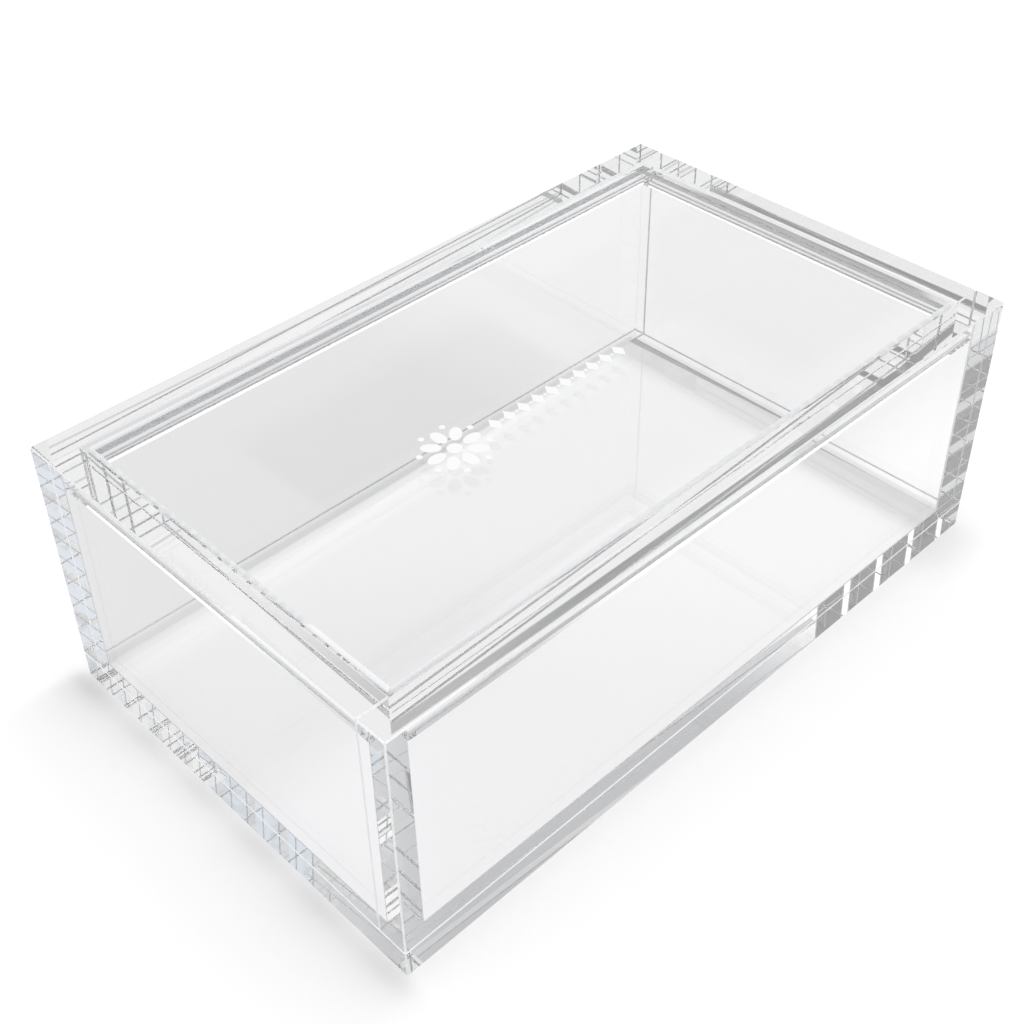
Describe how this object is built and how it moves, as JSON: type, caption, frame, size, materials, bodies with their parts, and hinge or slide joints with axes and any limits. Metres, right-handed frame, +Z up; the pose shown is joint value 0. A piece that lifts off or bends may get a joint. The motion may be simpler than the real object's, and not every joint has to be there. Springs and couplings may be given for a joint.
{
  "type": "tile storage box",
  "caption": "Clear rectangular box of thick plates with a flush lift-out lid resting on a narrow inner ledge, for storing game or craft tiles.",
  "frame": {"origin": "centre of the underside, on the surface the box stands on", "axes": "+X along the long side, +Y from the front long wall to the back one, +Z up, the way the lid lifts out"},
  "size_m": [0.25, 0.15, 0.09],
  "materials": {
    "clear_acrylic": "clear, polished faces and edges"
  },
  "bodies": {
    "box": {"base_plate": "clear_acrylic", "front_wall": "clear_acrylic", "back_wall": "clear_acrylic", "left_end_wall": "clear_acrylic", "right_end_wall": "clear_acrylic", "front_ledge": "clear_acrylic", "back_ledge": "clear_acrylic", "left_ledge": "clear_acrylic", "right_ledge": "clear_acrylic"},
    "lid": {"lid": "clear_acrylic"}
  },
  "joints": [
    {"name": "lid_lift", "type": "slide", "parent": "box", "child": "lid", "axis": [0, 0, 1], "range_m": [0, 0.15]}
  ]
}
